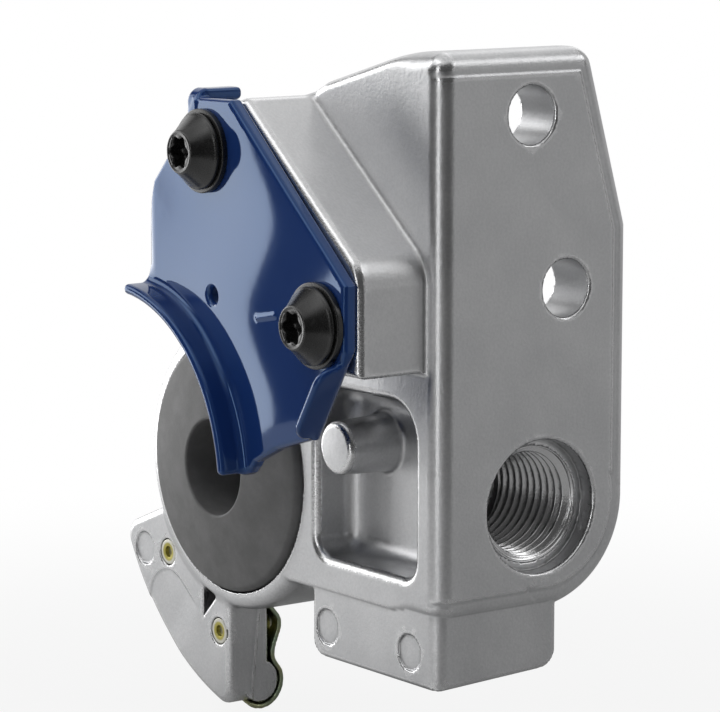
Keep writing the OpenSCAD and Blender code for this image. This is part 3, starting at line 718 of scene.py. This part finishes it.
def thread(name):
    """Lining of the port: radius = mean + half * triangle wave of (x / pitch - angle) with its tips cut flat,
    on a taper, fading to a plain bore at the mouth; the outside is a plain cylinder."""
    turns, rows = 144, 200
    tip_cut, run_in, mouth_gain, wall = 1.25, 0.9, 0.4, 0.06
    mouth_gap, end_gap = 0.02, 0.1
    t = full_turn(turns)
    x = np.linspace(-MOUTH_DEPTH - mouth_gap, -THREAD_DEPTH + end_gap, rows)[:, None]
    phase = x / THREAD_PITCH - t / (2 * np.pi)
    wave = 2 * np.abs(2 * (phase - np.floor(phase + 0.5))) - 1
    fade = ramp(x, -MOUTH_DEPTH, -MOUTH_DEPTH - run_in)
    taper = THREAD_TAPER * (x + MOUTH_DEPTH)
    r = THREAD_MEAN_R + THREAD_HALF * np.clip(tip_cut * wave, -1, 1) * fade + taper + mouth_gain * (1 - fade)
    outer = np.full((1, turns), THREAD_R + wall)
    r = np.concatenate([outer, np.minimum(r, THREAD_R), outer])
    x = np.concatenate([x[:1], x, x[-1:]])
    points = np.stack(np.broadcast_arrays(x, PORT[0] + r * np.cos(t), PORT[1] + r * np.sin(t)), -1)
    inward = [0, 3, 2, 1]
    return new_object(name, points.reshape(-1, 3), bands(rows + 2, turns, True)[:, inward])


# Shader maths
class Sock:
    """A shader socket or number with the usual operators, each of which adds one Math node."""

    def __init__(self, graph, value):
        self.graph = graph
        self.value = value

    def math(self, operation, *others):
        """One Math node with this socket first."""
        return self.graph.node("ShaderNodeMath", {"operation": operation}, [self, *others])

    def __add__(self, other):
        return self.math("ADD", other)

    def __mul__(self, other):
        return self.math("MULTIPLY", other)

    def __sub__(self, other):
        return self.math("SUBTRACT", other)

    def __rsub__(self, other):
        return Sock(self.graph, other).math("SUBTRACT", self)

    def __truediv__(self, other):
        return self.math("DIVIDE", other)

    def __rtruediv__(self, other):
        return Sock(self.graph, other).math("DIVIDE", self)

    def __abs__(self):
        return self.math("ABSOLUTE")

    __radd__ = __add__
    __rmul__ = __mul__

    def fit(self, a, b, c=0.0, d=1.0):
        """Smooth Map Range from a..b to c..d."""
        settings = {"interpolation_type": "SMOOTHSTEP"}
        return self.graph.node("ShaderNodeMapRange", settings, [self, a, b, c, d])


class Graph:
    """A node tree, and one method that adds any node with its settings and inputs."""

    def __init__(self, data):
        data.use_nodes = True
        self.data = data
        self.tree = data.node_tree

    def feed(self, socket, value):
        """Links an input to a socket, or sets its value."""
        value = value.value if isinstance(value, Sock) else value
        if isinstance(value, bpy.types.NodeSocket):
            self.tree.links.new(value, socket)
        else:
            socket.default_value = value

    def node(self, kind, settings, inputs, out=0):
        """Adds a node; inputs is a list in socket order or a dict by name or number."""
        n = self.tree.nodes.new(kind)
        for key, value in settings.items():
            setattr(n, key, value)
        for key, value in (inputs.items() if isinstance(inputs, dict) else enumerate(inputs)):
            self.feed(n.inputs[key], value)
        return Sock(self, n.outputs[out])


class Material(Graph):
    """A material with a Principled shader, whose patterns follow Object coordinates."""

    def __init__(self, name):
        super().__init__(bpy.data.materials.new(name))
        self.shader = self.tree.nodes["Principled BSDF"]
        self.place = self.node("ShaderNodeTexCoord", {}, [], "Object")

    def noise(self, scale, detail=3.0, rough=0.55):
        """Noise of Object coordinates, in features for each metre."""
        inputs = {"Vector": self.place, "Scale": scale, "Detail": detail, "Roughness": rough}
        return self.node("ShaderNodeTexNoise", {}, inputs)

    def axis(self, name):
        """One Object coordinate."""
        return self.node("ShaderNodeSeparateXYZ", {}, [self.place], name)

    def marked(self, name):
        """The number that a piece's vertices carry under a name, or 0."""
        return self.node("ShaderNodeAttribute", {"attribute_name": name}, {}, "Fac")

    def mix(self, share, a, b):
        """Colour a where share is 0 and b where it is 1, by the sockets that a Mix node has for colours."""
        factor, colour_a, colour_b, result = 0, 6, 7, 2
        inputs = {factor: share, colour_a: a, colour_b: b}
        return self.node("ShaderNodeMix", {"data_type": "RGBA"}, inputs, result)

    def bump(self, height, strength, distance):
        """Bump of a height in metres times distance."""
        inputs = {"Strength": strength, "Distance": distance, "Height": height}
        return self.node("ShaderNodeBump", {}, inputs)

    def set(self, **values):
        """Sets the shader's inputs: Base_Color=..., Roughness=... and so on."""
        for key, value in values.items():
            self.feed(self.shader.inputs[key.replace("_", " ")], value)
        return self.data


def grey(v):
    """An RGBA grey."""
    return (v, v, v, 1.0)


def aluminium():
    """Tumbled die casting: cool grey metal, fine grain, cloudy sheen, edges lightened as a painted highlight
    and creases darkened as painted shade.
    """
    m = Material("cast_aluminium")
    cloud = m.noise(90, 4)
    speck = m.noise(1900, 2, 0.6)
    pits = m.noise(620, 3, 0.6)
    bend = m.marked("bend")
    cut = m.marked("cut")
    # Painted highlight: convex edges, where the bend mark is high, get a lighter colour through tone, as well
    # as less roughness.
    edge = bend.fit(0.1, 0.6) * speck.fit(0.3, 0.7, 0.55, 1.0)
    # Painted shade: concave creases, where the bend mark is low, are darkened towards grey.
    crease_shade = bend.fit(-0.25, -1.3) * pits.fit(0.3, 0.7, 0.5, 1.0)
    tone = (cloud - 0.5) * 0.5 + (speck - 0.5) * 0.4 + 0.5 + edge * 0.2 + cut * 0.4
    colour = m.mix(tone.fit(0.1, 1.0), (0.48, 0.485, 0.495, 1), (0.72, 0.72, 0.725, 1))
    colour = m.mix(crease_shade * 0.5, colour, grey(0.2))
    rough = (cloud - 0.5) * 0.12 + (speck - 0.5) * 0.1 - edge * 0.18 - cut * 0.16 + 0.39
    grain = m.bump(speck + pits * 0.9 + cloud * 1.5, 0.55, 0.00006)
    return m.set(Base_Color=colour, Metallic=1.0, Roughness=rough, Normal=grain)


def rubber():
    """Matt moulded rubber with a dusty bloom."""
    m = Material("seal_rubber")
    dust = m.noise(160, 5, 0.65)
    fine = m.noise(2600, 2)
    colour = m.mix(dust.fit(0.3, 0.75), grey(0.135), grey(0.185))
    rough = (fine - 0.5) * 0.15 + 0.58
    grain = m.bump(fine + dust, 0.25, 0.00008)
    return m.set(Base_Color=colour, Roughness=rough, Specular_IOR_Level=0.4, Normal=grain)


def paint():
    """Glossy dark blue powder coat with a faint orange peel."""
    m = Material("blue_paint")
    peel = m.noise(420, 2, 0.4)
    cloud = m.noise(60, 3)
    colour = m.mix(cloud, (0.010, 0.034, 0.150, 1), (0.014, 0.044, 0.180, 1))
    rough = (cloud - 0.5) * 0.03 + 0.055
    grain = m.bump(peel, 0.04, 0.00008)
    return m.set(
        Base_Color=colour, Roughness=rough, Coat_Weight=0.2, Coat_Roughness=0.02,
        Specular_IOR_Level=0.7, Specular_Tint=(0.30, 0.58, 1.0, 1.0), Normal=grain,
    )


def black_steel():
    """Black oxide with a satin sheen and small rubbed spots."""
    m = Material("black_steel")
    rub = m.noise(900, 4, 0.7)
    colour = m.mix(rub.fit(0.55, 0.8), grey(0.008), grey(0.022))
    rough = (rub - 0.5) * 0.22 + 0.27
    grain = m.bump(rub, 0.2, 0.00005)
    return m.set(Base_Color=colour, Roughness=rough, Specular_IOR_Level=0.6, Normal=grain)


def plated():
    """Zinc plate with a passivation that runs from olive yellow to green."""
    m = Material("plated_steel")
    tint = m.noise(70, 3)
    fine = m.noise(1500, 3)
    colour = m.mix(tint.fit(0.35, 0.65), (0.42, 0.40, 0.21, 1), (0.25, 0.38, 0.31, 1))
    rough = (fine - 0.5) * 0.2 + 0.34
    grain = m.bump(fine, 0.2, 0.00004)
    return m.set(Base_Color=colour, Metallic=1.0, Roughness=rough, Normal=grain)


def yellow():
    """Yellow passivated rivet, paler on the rim of its head."""
    m = Material("yellow_rivet")
    tint = m.noise(500, 3)
    colour = m.mix(tint, (0.30, 0.25, 0.02, 1), (0.55, 0.50, 0.16, 1))
    colour = m.mix(m.marked("rim").fit(1.55, 2.0), colour, (0.66, 0.65, 0.58, 1))
    rough = (tint - 0.5) * 0.2 + 0.36
    grain = m.bump(tint, 0.15, 0.00005)
    return m.set(Base_Color=colour, Metallic=0.9, Roughness=rough, Normal=grain)


FINISH = {
    "cast_aluminium": aluminium(),
    "seal_rubber": rubber(),
    "blue_paint": paint(),
    "black_steel": black_steel(),
    "plated_steel": plated(),
    "yellow_rivet": yellow(),
}


def place(obj, slot, *nodes):
    """Gives a piece its finish and its body, and hides the CAD parts of any nodes that it stands for."""
    obj.data.materials.clear()
    obj.data.materials.append(FINISH[slot])
    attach(obj, "root")
    if nodes:
        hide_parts(*nodes)


# Pieces; a field is searched between two corners at a step, and a share of its net's faces is kept
body_piece = solid_of(casting, "casting", (-109.0, -16.4, -20.0), (2.0, 43.5, 113.5), 0.5, 0.46)
place(body_piece, "cast_aluminium", "body")

plate_piece = solid_of(plate, "painted_plate", (-68.0, -25.0, 33.5), (-2.5, -4.0, 105.0), 0.36, 0.9)
place(plate_piece, "blue_paint", "detent_plate")

lining = thread("port_thread")
mark(lining, "cut", np.ones(len(lining.data.vertices)))
place(lining, "cast_aluminium")

SEAL_EDGE_R = 0.6
SEAL_TURNS = 160
place(ring("rubber_seal", SEAL, soften(SEAL_SECTION, SEAL_EDGE_R), SEAL_TURNS), "seal_rubber", "seal")

WASHER_EDGE_R = 0.25
inner, outer = WASHER_R
washer_section = [(inner, SCREW_SEAT), (inner, PLATE_Y), (outer, PLATE_Y), (outer, SCREW_SEAT)]
washer = soften(washer_section, WASHER_EDGE_R)
for label, at in zip(("upper", "lower"), SCREWS):
    place(screw(label + "_black_screw", at), "black_steel", label + "_screw")
    place(ring(label + "_black_washer", at, washer), "black_steel", label + "_washer")

RIVET_EDGE_R = 0.2
RIVET_TURNS = 64
rivet = soften(RIVET_SECTION, RIVET_EDGE_R)
for label, at in zip(("upper", "lower"), RIVETS):
    tube = ring(label + "_tube_rivet", at, rivet, RIVET_TURNS)
    mark(tube, "rim", np.repeat(rivet[:, 0], RIVET_TURNS))
    place(tube, "yellow_rivet", label + "_rivet")

wear_piece = solid_of(wear, "plated_wear_plate", (-107.0, 4.0, -20.0), (-65.0, 15.0, 22.0), 0.3, 0.5)
place(wear_piece, "plated_steel", "wear_plate")


# Stage: floor, light and camera, in metres
def floor_card(name, size, material):
    """A square card about the origin, facing up."""
    half = size / 2
    mesh = bpy.data.meshes.new(name)
    corners = [(-half, -half, 0), (half, -half, 0), (half, half, 0), (-half, half, 0)]
    mesh.from_pydata(corners, [], [(0, 1, 2, 3)])
    obj = link(name, mesh)
    obj.data.materials.append(material)
    return obj


def floor_material():
    """White floor: matt, and partly lit from within, for rays from the camera so that it is white off the
    shadow, and for reflections on the side that the coupling face looks to."""
    m = Material("floor_white")
    m.set(Base_Color=grey(0.4), Roughness=0.9, Specular_IOR_Level=0.0)
    seen = m.node("ShaderNodeLightPath", {}, [], "Is Camera Ray")
    mirrored = m.node("ShaderNodeLightPath", {}, [], "Is Glossy Ray")
    distance = m.node("ShaderNodeVectorMath", {"operation": "LENGTH"}, [m.place], "Value")
    white = distance.fit(0.08, 0.26, 0.88, 1.0)
    ahead = (m.axis("X") * -0.5 - m.axis("Y") * 0.87).fit(0.0, 0.08, 0.0, 0.65)
    level = (seen * white).math("MAXIMUM", mirrored * ahead)
    glow = m.node("ShaderNodeEmission", {}, {"Color": grey(1.0), "Strength": 1.0})
    share = m.node("ShaderNodeMixShader", {}, [level, Sock(m, m.shader.outputs[0]), glow])
    m.feed(m.tree.nodes["Material Output"].inputs["Surface"], share)
    return m.data


# Panels of light: azimuth, elevation, half width, half height, softness and strength
ROOM_LEVEL = 0.08
PANELS = [
    (-166.4, -2, 0.404, 0.36, 0.005, 3.1),
    (36, -8, 0.42, 0.60, 0.12, 0.40),
    (100, 10, 0.60, 0.50, 0.20, 0.42),
    (150, 25, 0.50, 0.45, 0.15, 0.9),
    (-72, 0, 0.08, 0.60, 0.02, 3.2),
    (0, 89, 0.80, 0.80, 0.20, 0.75),
    (55, 36, 0.30, 0.14, 0.05, 2.0),
    (-98, 52, 0.40, 0.25, 0.15, 1.2),
    (-143, 29, 0.26, 0.20, 0.08, 2.4),
    (112, 50, 0.35, 0.20, 0.12, 0.45),
]


def studio(base, panels):
    """World: white for the camera, and for all other rays a dim room with soft panels, each a rectangle on
    the plane that its direction is normal to."""
    least_depth = 0.001
    g = Graph(bpy.data.worlds.new("studio"))
    bpy.context.scene.world = g.data
    look = g.node("ShaderNodeTexCoord", {}, [], "Generated")
    total = Sock(g, base)
    for azimuth, elevation, wide, high, soft, strength in panels:
        a, e = math.radians(azimuth), math.radians(elevation)
        ahead = (math.cos(a) * math.cos(e), math.sin(a) * math.cos(e), math.sin(e))
        side = (-math.sin(a), math.cos(a), 0.0)
        up = (-math.cos(a) * math.sin(e), -math.sin(a) * math.sin(e), math.cos(e))
        dot = {"operation": "DOT_PRODUCT"}
        parts = [g.node("ShaderNodeVectorMath", dot, [look, v], "Value") for v in (ahead, side, up)]
        depth, right, height = parts
        depth = depth.math("MAXIMUM", least_depth)
        across = (abs(right) / depth).fit(wide - soft, wide + soft, 1.0, 0.0)
        upright = (abs(height) / depth).fit(high - soft, high + soft, 1.0, 0.0)
        total = across * upright * strength + total
    seen = g.node("ShaderNodeLightPath", {}, [], "Is Camera Ray")
    back = g.tree.nodes["Background"]
    g.feed(back.inputs["Color"], grey(1.0))
    g.feed(back.inputs["Strength"], seen * (1.0 - total) + total)


FLOOR_SIZE = 0.56
FLOOR_AT = (-0.04, -0.01)
FLOOR_GAP = 0.0005
floor = floor_card("floor", FLOOR_SIZE, floor_material())
floor.location = (*FLOOR_AT, cad_box[0][2] - FLOOR_GAP)
studio(ROOM_LEVEL, PANELS)

# Camera, as it was solved from the edges of the object in the photograph
LENS = 170.0
SENSOR = 36.0
EYE = (0.45480, -0.37622, 0.06223)
GAZE = (-0.7959, 0.5865, -0.1498)
camera = bpy.data.cameras.new("camera")
camera.lens = LENS
camera.sensor_width = SENSOR
camera.sensor_fit = "HORIZONTAL"
eye = bpy.data.objects.new("camera", camera)
eye.location = EYE
eye.rotation_euler = Vector(GAZE).to_track_quat("-Z", "Y").to_euler()
bpy.context.scene.collection.objects.link(eye)
bpy.context.scene.camera = eye
bpy.context.scene.view_settings.view_transform = "Standard"
